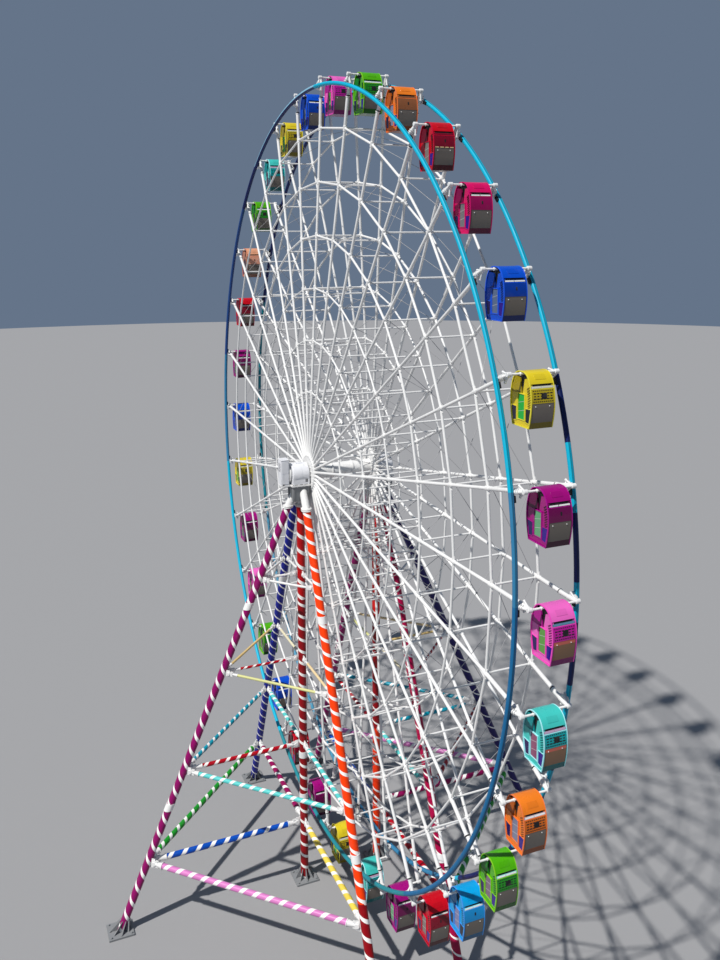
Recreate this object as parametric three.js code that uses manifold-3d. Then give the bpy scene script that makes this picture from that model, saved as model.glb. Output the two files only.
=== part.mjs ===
import * as THREE from "three";
import { mergeVertices } from "three/addons/utils/BufferGeometryUtils.js";
import Module from "manifold-3d";

// Ferris wheel, made at half its real size. Millimetres, +Z up, wheel axle along Y.
// The origin is on the ground under the middle of the wheel.

// Driving dimensions of the wheel
const PIVOT_RADIUS = 10200;
const HUB_HEIGHT = 11425;
const CABIN_COUNT = 32;
const LATTICE_RINGS = [8940, 7580, 6210];
const TIE_RING = 8940;
const PLANE_AT_HUB = 887;
const PLANE_AT_RIM = 438;
const SPOKE_WIDTH = 68;
const RING_BAR_WIDTH = 52;
const TIE_WIDTH = 46;
const TIE_BRACE_RADIUS = 13;
const RIM_RADIUS = 9965;
const RIM_PLANE = 625;
const RIM_TUBE = 90;
const RIM_SEGMENTS = 48;
const BRACKET_LOW = 9850;
const BRACKET_HIGH = 10260;
const BRACKET_IN = 400;
const BRACKET_WIDTH = 96;
const SPOKE_INTO_FLANGE = 60;
const SPOKE_INTO_BRACKET = 30;
const SPOKE_LEAN = 1.1;

// Hub, shaft and bearings
const HUB_TUBE_RADIUS = 190;
const HUB_FLANGE_RADIUS = 470;
const HUB_FLANGE_HALF = 60;
const HUB_TUBE_PAST_FLANGE = 25;
const SHAFT_RADIUS = 120;
const SHAFT_END_NEAR = 1600;
const SHAFT_END_FAR = 1460;
const SHAFT_END_ROOM = 20;
const HOUSING_FACES = [960, 1414];
const HOUSING_RADIUS = 280;
const HOUSING_FOOT_WIDTH = 520;
const DRIVE_BOX = { halfWidth: 150, faces: [1480, 1700], top: 420 };

// Towers
const TOWER_PLANE_NEAR = 1142;
const TOWER_PLANE_FAR = 1015;
const LEG_RADIUS = 107;
const LEG_TOP_X = 502;
const LEG_FOOT_X = 5180;
const OUTRIGGER_TOP_OUT = 355;
const OUTRIGGER_FOOT = 6072;
const HEAD_BOTTOM = HUB_HEIGHT - 880;
const HEAD_TOP = HUB_HEIGHT - 285;
const HEAD_LEDGE = { halfWidth: 280, faces: [940, 1450], thick: 40 };
const HEAD_COLUMN = { bottom: 800, bottomHalf: 205, topHalf: 260, faces: [967, 1407] };
const STUB_TOP = { below: 400, x: 150, y: [1120, 1240] };
const BRACE_LEVELS = [8720, 6370, 3940, 1690];
const BRACE_WIDTHS = [60, 68, 112, 150];
const COLLAR_RADIUS = 135;
const COLLAR_HEIGHT = 200;
const FOOT_PLATE = [620, 620, 50];

// Cabins
const CABIN_DEPTH = 480;
const CABIN_WALL = 24;
const CABIN_ROOF = 52;
const CABIN_FLOOR = -925;
const CABIN_WAIST = -480;
const CABIN_HALF_WIDTH = 347;
const SIDE_WINDOW = { width: 380, height: 290, middle: -645 };
const DOOR_WINDOW = { width: 200, height: 430, middle: -565 };
const AXLE_RADIUS = 24;
const AXLE_INTO_WALL = 10;

// How round the round pieces are, and the clearance between pieces that touch
const ROUND_SIDES = 16;
const LEG_SIDES = 6;
const ROD_SIDES = 3;
const GAP = 0.3;

const wasm = await Module();
wasm.setup();

const X = new THREE.Vector3(1, 0, 0);
const Y = new THREE.Vector3(0, 1, 0);
const Z = new THREE.Vector3(0, 0, 1);
const v = (x, y, z) => new THREE.Vector3(x, y, z);

// Turns a closed three.js geometry into a solid that can be joined and cut.
function solid(geometry) {
  const bare = geometry.index ? geometry.toNonIndexed() : geometry.clone();
  bare.deleteAttribute("normal");
  bare.deleteAttribute("uv");
  const merged = mergeVertices(bare, 1e-3);
  return new wasm.Manifold(new wasm.Mesh({
    numProp: 3,
    vertProperties: new Float32Array(merged.attributes.position.array),
    triVerts: new Uint32Array(merged.index.array),
  }));
}

// Turns a solid back into a geometry for a mesh.
function geometryOf(manifold) {
  const mesh = manifold.getMesh();
  const geometry = new THREE.BufferGeometry();
  geometry.setAttribute("position", new THREE.BufferAttribute(mesh.vertProperties, 3));
  geometry.setIndex(new THREE.BufferAttribute(mesh.triVerts, 1));
  return geometry;
}

const join = (solids) => solids.reduce((whole, piece) => whole.add(piece));

function box(width, depth, height, centre) {
  const geometry = new THREE.BoxGeometry(width, depth, height);
  return solid(geometry.translate(centre.x, centre.y, centre.z));
}

// A straight bar from a to b, width along across, thick the other way.
function bar(a, b, width, thick, across) {
  const along = b.clone().sub(a);
  const length = along.length();
  along.normalize();
  const side = across.clone().addScaledVector(along, -across.dot(along)).normalize();
  const up = along.clone().cross(side);
  const turn = new THREE.Matrix4().makeBasis(side, up, along);
  turn.setPosition(a.clone().add(b).multiplyScalar(0.5));
  return solid(new THREE.BoxGeometry(width, thick, length).applyMatrix4(turn));
}

// A round bar with few sides from a to b.
function rod(a, b, radius, sides) {
  const geometry = new THREE.CylinderGeometry(radius, radius, a.distanceTo(b), sides);
  const turn = new THREE.Quaternion().setFromUnitVectors(Y, b.clone().sub(a).normalize());
  geometry.applyQuaternion(turn);
  const middle = a.clone().add(b).multiplyScalar(0.5);
  return solid(geometry.translate(middle.x, middle.y, middle.z));
}

// A leaning column between two level faces: the ends are cut level.
function column(foot, top, radius) {
  const height = top.z - foot.z;
  const geometry = new THREE.CylinderGeometry(radius, radius, height, LEG_SIDES);
  geometry.rotateY(Math.PI / LEG_SIDES);
  geometry.rotateX(Math.PI / 2);
  const shear = new THREE.Matrix4().set(
    1, 0, (top.x - foot.x) / height, (top.x + foot.x) / 2,
    0, 1, (top.y - foot.y) / height, (top.y + foot.y) / 2,
    0, 0, 1, (top.z + foot.z) / 2,
    0, 0, 0, 1,
  );
  return solid(geometry.applyMatrix4(shear));
}

const paint = (colour, roughness, metalness) =>
  new THREE.MeshStandardMaterial({ color: colour, roughness, metalness });

const model = new THREE.Group();

function place(parent, name, manifold, material) {
  const mesh = new THREE.Mesh(geometryOf(manifold), material);
  mesh.name = name;
  parent.add(mesh);
  return mesh;
}

// The wheel turns round its own middle, so its pieces are made about the hub.
const wheel = new THREE.Group();
wheel.position.z = HUB_HEIGHT;
model.add(wheel);

const pitch = (2 * Math.PI) / CABIN_COUNT;
const planeAt = (radius) =>
  PLANE_AT_HUB + ((PLANE_AT_RIM - PLANE_AT_HUB) * radius) / PIVOT_RADIUS;
const onWheel = (radius, step, y) =>
  v(radius * Math.sin(step * pitch), y, radius * Math.cos(step * pitch));
const steps = [...Array(CABIN_COUNT).keys()];

// One dished side of the wheel: spokes, polygon rings and the brackets at the spoke ends.
function latticeSide(side) {
  const flangeY = side * planeAt(HUB_FLANGE_RADIUS);
  const bracketOut = RIM_PLANE - RIM_TUBE / 2 - GAP;
  const bracketY = (side * (BRACKET_IN + bracketOut)) / 2;
  const pieces = [];
  for (const step of steps) {
    const inner = onWheel(HUB_FLANGE_RADIUS - SPOKE_INTO_FLANGE, step, flangeY);
    const outer = onWheel(BRACKET_LOW + SPOKE_INTO_BRACKET, step, side * planeAt(BRACKET_LOW));
    pieces.push(bar(inner, outer, SPOKE_WIDTH, SPOKE_WIDTH, Y));
    const low = onWheel(BRACKET_LOW, step, bracketY);
    const high = onWheel(BRACKET_HIGH, step, bracketY);
    pieces.push(bar(low, high, bracketOut - BRACKET_IN, BRACKET_WIDTH, Y));
  }
  for (const radius of LATTICE_RINGS) {
    const y = side * planeAt(radius);
    for (const step of steps) {
      const a = onWheel(radius, step, y);
      const b = onWheel(radius, step + 1, y);
      pieces.push(rod(a, b, RING_BAR_WIDTH / 2, ROD_SIDES));
    }
  }
  const flange = new THREE.CylinderGeometry(
    HUB_FLANGE_RADIUS, HUB_FLANGE_RADIUS, 2 * HUB_FLANGE_HALF, CABIN_COUNT);
  const bore = new THREE.CylinderGeometry(
    HUB_TUBE_RADIUS + GAP, HUB_TUBE_RADIUS + GAP, 3 * HUB_FLANGE_HALF, ROUND_SIDES);
  pieces.push(solid(flange.rotateY(pitch / 2).translate(0, flangeY, 0)));
  return join(pieces).subtract(solid(bore.translate(0, flangeY, 0)));
}

// A zigzag of level ties and slanting braces that holds the two sides apart.
function tieRing(radius) {
  const reach = planeAt(radius) - SPOKE_WIDTH / 2 - SPOKE_LEAN - GAP;
  const inset = reach - TIE_WIDTH;
  const pieces = [];
  for (const step of steps) {
    pieces.push(bar(onWheel(radius, step, -reach), onWheel(radius, step, reach),
      TIE_WIDTH, TIE_WIDTH, X));
    const lean = step % 2 === 0 ? inset : -inset;
    pieces.push(rod(onWheel(radius, step, -lean), onWheel(radius, step + 1, lean),
      TIE_BRACE_RADIUS, ROD_SIDES));
  }
  return join(pieces);
}

// One round rim tube outside the spoke ends.
function rim(side) {
  const half = RIM_TUBE / 2;
  const section = [
    [RIM_RADIUS - half, -half], [RIM_RADIUS + half, -half],
    [RIM_RADIUS + half, half], [RIM_RADIUS - half, half], [RIM_RADIUS - half, -half],
  ].map(([r, y]) => new THREE.Vector2(r, y));
  return solid(new THREE.LatheGeometry(section, RIM_SEGMENTS).translate(0, side * RIM_PLANE, 0));
}

// The drum between the two flanges and the shaft that runs out to both bearings.
function hubDrum() {
  const reach = planeAt(HUB_FLANGE_RADIUS) + HUB_FLANGE_HALF + HUB_TUBE_PAST_FLANGE;
  return join([
    rod(v(0, -reach, 0), v(0, reach, 0), HUB_TUBE_RADIUS, ROUND_SIDES),
    rod(v(0, -SHAFT_END_NEAR, 0), v(0, SHAFT_END_FAR, 0), SHAFT_RADIUS, ROUND_SIDES),
  ]);
}

const white = paint(0xeeeeee, 0.45, 0.1);
place(wheel, "wheel_side_near", latticeSide(-1), white);
place(wheel, "wheel_side_far", latticeSide(1), white);
place(wheel, "ties", tieRing(TIE_RING), white);
const rimBlue = paint(0x1fb4d8, 0.35, 0.1);
place(wheel, "rim_near", rim(-1), rimBlue);
place(wheel, "rim_far", rim(1), rimBlue);
place(wheel, "hub_drum", hubDrum(), white);

// Half of the cabin's outline, from the middle of the roof down to the floor.
const CABIN_OUTLINE = [
  [100, CABIN_ROOF], [210, -25], [275, -115], [CABIN_HALF_WIDTH, CABIN_WAIST], [268, CABIN_FLOOR],
];

// The outline shrunk by inset all round and stretched along the axle.
function cabinPrism(inset, depth) {
  const middle = (CABIN_ROOF + CABIN_FLOOR) / 2;
  const narrower = 1 - inset / CABIN_HALF_WIDTH;
  const lower = 1 - (2 * inset) / (CABIN_ROOF - CABIN_FLOOR);
  const half = CABIN_OUTLINE.map(([x, z]) => [x * narrower, middle + (z - middle) * lower]);
  const shape = new THREE.Shape();
  shape.moveTo(half[0][0], half[0][1]);
  half.slice(1).forEach(([x, z]) => shape.lineTo(x, z));
  half.slice(1).reverse().forEach(([x, z]) => shape.lineTo(-x, z));
  const geometry = new THREE.ExtrudeGeometry(shape, { depth, bevelEnabled: false });
  return solid(geometry.translate(0, 0, -depth / 2).rotateX(Math.PI / 2));
}

// A hollow cabin with window openings on all four sides and an axle stub at each end.
function cabinShell() {
  const through = CABIN_DEPTH * 2;
  const shell = cabinPrism(0, CABIN_DEPTH)
    .subtract(cabinPrism(CABIN_WALL, CABIN_DEPTH - 2 * CABIN_WALL))
    .subtract(box(through, SIDE_WINDOW.width, SIDE_WINDOW.height, v(0, 0, SIDE_WINDOW.middle)))
    .subtract(box(DOOR_WINDOW.width, through, DOOR_WINDOW.height, v(0, 0, DOOR_WINDOW.middle)));
  const root = CABIN_DEPTH / 2 - AXLE_INTO_WALL;
  const tip = BRACKET_IN - GAP;
  const stub = (side) => rod(v(0, side * root, 0), v(0, side * tip, 0), AXLE_RADIUS, LEG_SIDES);
  return join([shell, stub(-1), stub(1)]);
}

const CABIN_COLOURS = {
  pink: 0xe060b0, green: 0x1f9a2c, orange: 0xf07a28, red: 0xc00f28, crimson: 0xb80c4c,
  blue: 0x1240c0, yellow: 0xe6d022, magenta: 0xb0208c, teal: 0x1f9a90, sky: 0x2f8ad8,
};
const CABIN_ORDER = [
  "pink", "green", "orange", "red", "crimson", "blue", "yellow", "magenta",
  "pink", "teal", "orange", "green", "sky", "red", "magenta", "teal",
  "yellow", "magenta", "red", "blue", "green", "pink", "magenta", "yellow",
  "blue", "magenta", "red", "orange", "green", "teal", "yellow", "blue",
];
const shellGeometry = geometryOf(cabinShell());
CABIN_ORDER.forEach((colour, step) => {
  const cabin = new THREE.Mesh(shellGeometry, paint(CABIN_COLOURS[colour], 0.35, 0));
  cabin.name = `cabin_${String(step).padStart(2, "0")}`;
  cabin.position.copy(onWheel(PIVOT_RADIUS, step, 0));
  wheel.add(cabin);
});

// A tower stands in a plane beside the wheel: a post, two legs and an outrigger.
const towerPlane = (side) => side * (side < 0 ? TOWER_PLANE_NEAR : TOWER_PLANE_FAR);

function towerLegs(side) {
  const y = towerPlane(side);
  const bottom = FOOT_PLATE[2] / 2;
  const top = HEAD_BOTTOM - GAP;
  const line = (footX, footY, topX, topY) =>
    ({ foot: v(footX, footY, bottom), top: v(topX, topY, top) });
  return {
    post: line(0, y, 0, y),
    leg_right: line(LEG_FOOT_X, y, LEG_TOP_X, y),
    leg_left: line(-LEG_FOOT_X, y, -LEG_TOP_X, y),
    outrigger: line(0, side * OUTRIGGER_FOOT, 0, y + side * OUTRIGGER_TOP_OUT),
  };
}

function legSolid({ foot, top }) {
  const [width, depth, thick] = FOOT_PLATE;
  const plate = box(width, depth, thick, v(foot.x, foot.y, thick / 2));
  return join([column(foot, top, LEG_RADIUS), plate]);
}

const pointAt = ({ foot, top }, z) => foot.clone().lerp(top, (z - foot.z) / (top.z - foot.z));

// The five braces of one level, joined by collars that clip round the legs.
function braceFrame(legs, z, width) {
  const at = (name) => pointAt(legs[name], z);
  const links = [
    ["leg_left", "post"], ["post", "leg_right"], ["leg_left", "outrigger"],
    ["leg_right", "outrigger"], ["post", "outrigger"],
  ];
  const pieces = links.map(([a, b]) => bar(at(a), at(b), width, width, Z));
  for (const leg of Object.values(legs)) {
    const low = pointAt(leg, z - COLLAR_HEIGHT / 2);
    const high = pointAt(leg, z + COLLAR_HEIGHT / 2);
    pieces.push(column(low, high, COLLAR_RADIUS));
  }
  const frame = join(pieces);
  return Object.values(legs).reduce((rest, leg) => rest.subtract(
    column(pointAt(leg, z - COLLAR_HEIGHT), pointAt(leg, z + COLLAR_HEIGHT), LEG_RADIUS + GAP)),
  frame);
}

// A level slab between two heights, from one distance off the wheel's middle to another.
function slab(side, halfWidth, [inner, outer], bottom, top) {
  const middle = v(0, (side * (inner + outer)) / 2, (bottom + top) / 2);
  return box(2 * halfWidth, outer - inner, top - bottom, middle);
}

// The welded head: four stubs rise from the legs into a grey column under a ledge plate.
function towerHead(side, legs) {
  const { bottom, bottomHalf, topHalf, faces: [inner, outer] } = HEAD_COLUMN;
  const ledgeBottom = HEAD_TOP - HEAD_LEDGE.thick;
  const shape = new THREE.Shape();
  shape.moveTo(-bottomHalf, HUB_HEIGHT - bottom);
  shape.lineTo(bottomHalf, HUB_HEIGHT - bottom);
  shape.lineTo(topHalf, ledgeBottom);
  shape.lineTo(-topHalf, ledgeBottom);
  const depth = outer - inner;
  const web = new THREE.ExtrudeGeometry(shape, { depth, bevelEnabled: false });
  web.translate(0, 0, -depth / 2).rotateX(Math.PI / 2).translate(0, (side * (inner + outer)) / 2, 0);
  const stubs = Object.entries(legs).map(([name, { top }]) => {
    const reach = STUB_TOP.y[name === "outrigger" ? 1 : 0];
    const end = v(Math.sign(top.x) * STUB_TOP.x, side * reach, HUB_HEIGHT - STUB_TOP.below);
    return column(v(top.x, top.y, HEAD_BOTTOM), end, LEG_RADIUS);
  });
  const ledge = slab(side, HEAD_LEDGE.halfWidth, HEAD_LEDGE.faces, ledgeBottom, HEAD_TOP);
  const pieces = [solid(web), ledge, ...stubs];
  if (side < 0) {
    const shelf = [HEAD_LEDGE.faces[1], DRIVE_BOX.faces[1]];
    pieces.push(slab(side, DRIVE_BOX.halfWidth, shelf, ledgeBottom, HEAD_TOP));
  }
  return join(pieces);
}

// The cutter for a bore round the shaft, turned so that its flats face the shaft's corners.
function shaftBore(side, [inner, outer]) {
  const halfStep = Math.PI / ROUND_SIDES;
  const radius = (SHAFT_RADIUS + GAP) / Math.cos(halfStep);
  const bore = new THREE.CylinderGeometry(radius, radius, outer - inner, ROUND_SIDES);
  return solid(bore.rotateY(halfStep).translate(0, (side * (inner + outer)) / 2, HUB_HEIGHT));
}

// A round housing with a foot, bored for the shaft.
function bearingHousing(side) {
  const [inner, outer] = HOUSING_FACES;
  const body = rod(v(0, side * inner, HUB_HEIGHT), v(0, side * outer, HUB_HEIGHT),
    HOUSING_RADIUS, ROUND_SIDES);
  const foot = slab(side, HOUSING_FOOT_WIDTH / 2, HOUSING_FACES, HEAD_TOP + GAP, HUB_HEIGHT);
  return join([body, foot]).subtract(shaftBore(side, [inner - GAP, outer + GAP]));
}

// A tall box outside the near bearing, on the ledge's shelf, closed round the shaft end.
function driveBox(side) {
  const { halfWidth, faces, top } = DRIVE_BOX;
  const cover = slab(side, halfWidth, faces, HEAD_TOP + GAP, HUB_HEIGHT + top);
  return cover.subtract(shaftBore(side, [faces[0] - GAP, SHAFT_END_NEAR + SHAFT_END_ROOM]));
}

const LEG_COLOURS = {
  near: { post: 0x9c1420, leg_right: 0xe8481c, leg_left: 0x182c9c, outrigger: 0xa01c70 },
  far: { post: 0xe06020, leg_right: 0x9c1440, leg_left: 0xa01c70, outrigger: 0x20207c },
};
const BRACE_COLOURS = [0xeeeeee, 0xe8dc70, 0x2f9cb8, 0xb04060];
const headGrey = paint(0x9a9a9a, 0.5, 0.4);

for (const [name, side] of [["near", -1], ["far", 1]]) {
  const legs = towerLegs(side);
  for (const [leg, line] of Object.entries(legs)) {
    place(model, `${leg}_${name}`, legSolid(line), paint(LEG_COLOURS[name][leg], 0.4, 0));
  }
  BRACE_LEVELS.forEach((z, level) => {
    const material = paint(BRACE_COLOURS[level], 0.4, 0);
    place(model, `braces_${name}_${level + 1}`, braceFrame(legs, z, BRACE_WIDTHS[level]), material);
  });
  place(model, `head_${name}`, towerHead(side, legs), headGrey);
  place(model, `bearing_${name}`, bearingHousing(side), white);
  if (side < 0) place(model, "shaft_box", driveBox(side), white);
}

export default model;
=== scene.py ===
import math
from collections import defaultdict

import bpy
import numpy as np
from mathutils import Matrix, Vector


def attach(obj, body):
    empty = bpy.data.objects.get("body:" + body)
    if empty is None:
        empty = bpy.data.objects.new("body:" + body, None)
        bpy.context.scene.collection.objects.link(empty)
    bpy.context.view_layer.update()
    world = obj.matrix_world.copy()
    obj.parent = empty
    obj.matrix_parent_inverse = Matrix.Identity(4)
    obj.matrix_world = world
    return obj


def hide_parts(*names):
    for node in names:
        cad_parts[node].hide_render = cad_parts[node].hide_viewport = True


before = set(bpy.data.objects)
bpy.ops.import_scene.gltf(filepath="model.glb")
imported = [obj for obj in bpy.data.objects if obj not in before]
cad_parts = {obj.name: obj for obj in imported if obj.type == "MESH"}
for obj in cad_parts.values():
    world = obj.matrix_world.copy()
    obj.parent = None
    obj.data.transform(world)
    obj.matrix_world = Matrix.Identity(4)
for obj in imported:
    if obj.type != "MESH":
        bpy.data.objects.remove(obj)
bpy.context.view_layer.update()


def placed(name, data):
    """A new object with its data, linked to the scene."""
    made = bpy.data.objects.new(name, data)
    bpy.context.scene.collection.objects.link(made)
    return made


def feed(node, sockets):
    """Sets each socket of a shader node to its value, or links it where the value is an output."""
    for socket, value in sockets.items():
        if isinstance(value, bpy.types.NodeSocket):
            node.id_data.links.new(value, node.inputs[socket])
        else:
            node.inputs[socket].default_value = value


# The view and the studio. The camera hangs in the air beside the wheel, above its axle, and looks
# six degrees down. The studio is a pale floor, an even blue-grey sky and one broad high sun.
camera = placed("camera", bpy.data.cameras.new("camera"))
camera.location = (23.272, -8.804, 17.808)
camera.rotation_euler = Vector((-0.9064, 0.4074, -0.1115)).to_track_quat("-Z", "Y").to_euler()
camera.data.lens = 35.547
camera.data.shift_x = -0.0386
camera.data.shift_y = -0.1509
camera.data.clip_end = 500
bpy.context.scene.camera = camera
bpy.context.scene.view_settings.view_transform = "Standard"

sun = placed("sun", bpy.data.lights.new("sun", "SUN"))
sun.rotation_euler = Vector((-0.22, 0.56, -0.8)).to_track_quat("-Z", "Y").to_euler()
sun.data.energy = 4.3
sun.data.angle = math.radians(1.2)
sun.data.color = (1, 0.97, 0.93)

sky = bpy.data.worlds.new("studio_sky")
sky.use_nodes = True
feed(sky.node_tree.nodes["Background"], {"Color": (0.13, 0.175, 0.25, 1)})
bpy.context.scene.world = sky

FLOOR_RADIUS = 160
FLOOR_SIDES = 96


def spread(count, past=0):
    """Directions spread evenly round the upright. The first is past the x axis by a share of a step."""
    a = (np.arange(count) + past) * 2 * np.pi / count
    return np.stack([np.cos(a), np.sin(a), 0 * a], axis=1)


floor_mesh = bpy.data.meshes.new("floor")
floor_mesh.from_pydata((spread(FLOOR_SIDES) * FLOOR_RADIUS).tolist(), [], [list(range(FLOOR_SIDES))])
floor = placed("floor", floor_mesh)
floor_paint = bpy.data.materials.new("pale_floor")
floor_paint.use_nodes = True
feed(floor_paint.node_tree.nodes["Principled BSDF"],
     {"Base Color": (0.3, 0.3, 0.305, 1), "Roughness": 0.9})
floor.data.materials.append(floor_paint)

# The eight legs: round steel tubes painted as candy sticks, a coloured coat under a white band
# that is wound round them. Each stands on a ribbed base plate. At the top a bolted ring joins it
# to a white stub that bends over into the tower head.
HUB = 11.425
TOWER = {"near": 1.142, "far": 1.015}
WAY = {"near": -1, "far": 1}
LEG_RADIUS = 0.107
LEG_FOOT, LEG_TOP = 0.025, 10.5447
STRIPES_FROM, STRIPES_TO = 0.05, 10.53
SPREAD_LOW, SPREAD_HIGH = 5.18, 0.502
OUTRIGGER_LOW, OUTRIGGER_HIGH = 6.072, 0.355
LEGS = {}
for side, way in WAY.items():
    plane = way * TOWER[side]
    LEGS[f"post_{side}"] = ((0, plane), (0, plane))
    LEGS[f"leg_right_{side}"] = ((SPREAD_LOW, plane), (SPREAD_HIGH, plane))
    LEGS[f"leg_left_{side}"] = ((-SPREAD_LOW, plane), (-SPREAD_HIGH, plane))
    LEGS[f"outrigger_{side}"] = ((0, way * OUTRIGGER_LOW), (0, plane + way * OUTRIGGER_HIGH))


def unit(vectors):
    """The same directions, each of length one."""
    return vectors / np.linalg.norm(vectors, axis=1, keepdims=True)


def turned(starts, ends, stations, radii, sides=12, level=False):
    """Round bars, all at once. Each bar runs from its start towards its end. Ring m has its middle
    station_m metres along and radius_m: a point is the middle plus the radius times cos a across
    and sin a up. level rings lie flat however the bar leans. Returns points, quads and each
    quad corner's (share of a turn, metres along). Flat ends close the bar."""
    starts, ends = np.atleast_2d(starts).astype(float), np.atleast_2d(ends).astype(float)
    along = unit(ends - starts)
    stations = np.broadcast_to(stations, (len(starts), np.shape(stations)[-1]))
    radii = np.broadcast_to(radii, stations.shape)
    upright = np.abs(along[:, 2:3]) > 0.8
    across = unit(np.cross(along, np.where(upright, [[0, 1, 0]], [[0, 0, 1]])))
    up = np.cross(along, across)
    if level:
        across, up = np.broadcast_to([[1, 0, 0]], up.shape), np.broadcast_to([[0, 1, 0]], up.shape)
    a = np.arange(sides) * 2 * np.pi / sides
    ring = across[:, None] * np.cos(a)[:, None] + up[:, None] * np.sin(a)[:, None]
    middles = starts[:, None] + along[:, None] * stations[..., None]
    points = middles[:, :, None] + ring[:, None] * radii[..., None, None]
    bars, rings = stations.shape
    index = np.arange(bars * rings * sides).reshape(bars, rings, sides)
    ahead = np.roll(index, -1, axis=2)
    walls = np.stack([index[:, :-1], ahead[:, :-1], ahead[:, 1:], index[:, 1:]], axis=-1)
    fan = np.array([[0, k, k + 1, k + 2] for k in range(1, sides - 1, 2)])
    caps = np.concatenate([index[:, 0][:, fan][..., ::-1], index[:, -1][:, fan]], axis=1)
    quads = np.concatenate([walls.reshape(-1, 4), caps.reshape(-1, 4)])
    share, low, high = np.broadcast_arrays(
        np.arange(sides) / sides, stations[:, :-1, None], stations[:, 1:, None])
    after = share + 1 / sides
    corners = [(share, low), (after, low), (after, high), (share, high)]
    wound = np.stack([np.stack(c, axis=-1) for c in corners], axis=-2).reshape(-1, 4, 2)
    return points.reshape(-1, 3), quads, np.concatenate([wound, np.zeros((caps.size // 4, 4, 2))])


def tubes(starts, ends, radius, sides=12):
    """Straight round tubes from each start to each end, as turned bars of one radius."""
    length = np.linalg.norm(np.atleast_2d(ends) - np.atleast_2d(starts), axis=1)
    return turned(starts, ends, np.stack([0 * length, length], axis=1), radius, sides)


def blocks(near, far):
    """Six-sided blocks, all at once: the four corners of one face, in order round it, are joined
    to the four corners of the face opposite. Corners are turned round where they run inwards."""
    near, far = (np.array(face, float).reshape(-1, 4, 3) for face in (near, far))
    facing = np.cross(far[:, 1] - far[:, 0], far[:, 2] - far[:, 0])
    inward = np.einsum("ij,ij->i", facing, far.mean(axis=1) - near.mean(axis=1)) < 0
    near[inward], far[inward] = near[inward][:, ::-1], far[inward][:, ::-1]
    points = np.concatenate([near, far], axis=1)
    sides = [[3, 2, 1, 0], [4, 5, 6, 7], [0, 1, 5, 4], [1, 2, 6, 5], [2, 3, 7, 6], [3, 0, 4, 7]]
    quads = np.arange(len(points))[:, None, None] * 8 + np.array(sides)
    return points.reshape(-1, 3), quads.reshape(-1, 4)


def boxes(middles, sizes, along=(1, 0, 0), up=(0, 0, 1)):
    """Boxes by their middles and sizes, the first size along, the last one up."""
    middles = np.atleast_2d(middles).astype(float)
    sizes = np.broadcast_to(sizes, middles.shape) / 2
    along, up = np.broadcast_to(along, middles.shape), np.broadcast_to(up, middles.shape)
    a, b, c = (d * s[:, None] for d, s in zip((along, np.cross(up, along), up), sizes.T))
    face = np.stack([-a - b, a - b, a + b, -a + b], axis=1) + middles[:, None]
    return blocks(face - c[:, None], face + c[:, None])


def piece(name, surfaces, finish, body, replaces=(), wound=False, coats=None, bevel=0):
    """Joins surfaces into one mesh object. wound keeps the corners' (turn, metres) as a map, and
    coats gives each surface, or each quad of it, its own colour. Edges over 35 degrees stay
    crisp. A finish is a paint and its slot; the slot is not used. The piece rides on body and
    replaces CAD nodes."""
    material, slot = finish
    starts = np.cumsum([0] + [len(s[0]) for s in surfaces])
    quads = np.concatenate([s[1] + start for s, start in zip(surfaces, starts)])
    mesh = bpy.data.meshes.new(name)
    mesh.from_pydata(np.concatenate([s[0] for s in surfaces]).tolist(), [], quads.tolist())
    if wound:
        corners = np.concatenate([s[2] for s in surfaces]).astype(np.float32)
        mesh.uv_layers.new(name="wound").data.foreach_set("uv", corners.ravel())
    if coats is not None:
        painted = [np.broadcast_to(coat, (len(s[1]), 3)) for coat, s in zip(coats, surfaces)]
        rgba = np.insert(np.concatenate(painted), 3, 1, axis=1).astype(np.float32)
        layer = mesh.color_attributes.new("coat", "FLOAT_COLOR", "CORNER")
        layer.data.foreach_set("color", np.repeat(rgba, 4, axis=0).ravel())
    mesh.shade_smooth()
    mesh.set_sharp_from_angle(angle=math.radians(35))
    mesh.materials.append(material)
    made = placed(name, mesh)
    if bevel:
        rounding = made.modifiers.new("rounding", "BEVEL")
        rounding.width, rounding.segments, rounding.limit_method = bevel, 2, "ANGLE"
    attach(made, body)
    if replaces:
        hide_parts(*replaces)
    return made


def joined(tree, kind, sockets=(), **settings):
    """Adds a shader node with its settings, feeds its sockets, and returns its outputs."""
    node = tree.nodes.new(f"ShaderNode{kind}")
    for setting, value in settings.items():
        setattr(node, setting, value)
    feed(node, dict(sockets))
    return node.outputs


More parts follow.
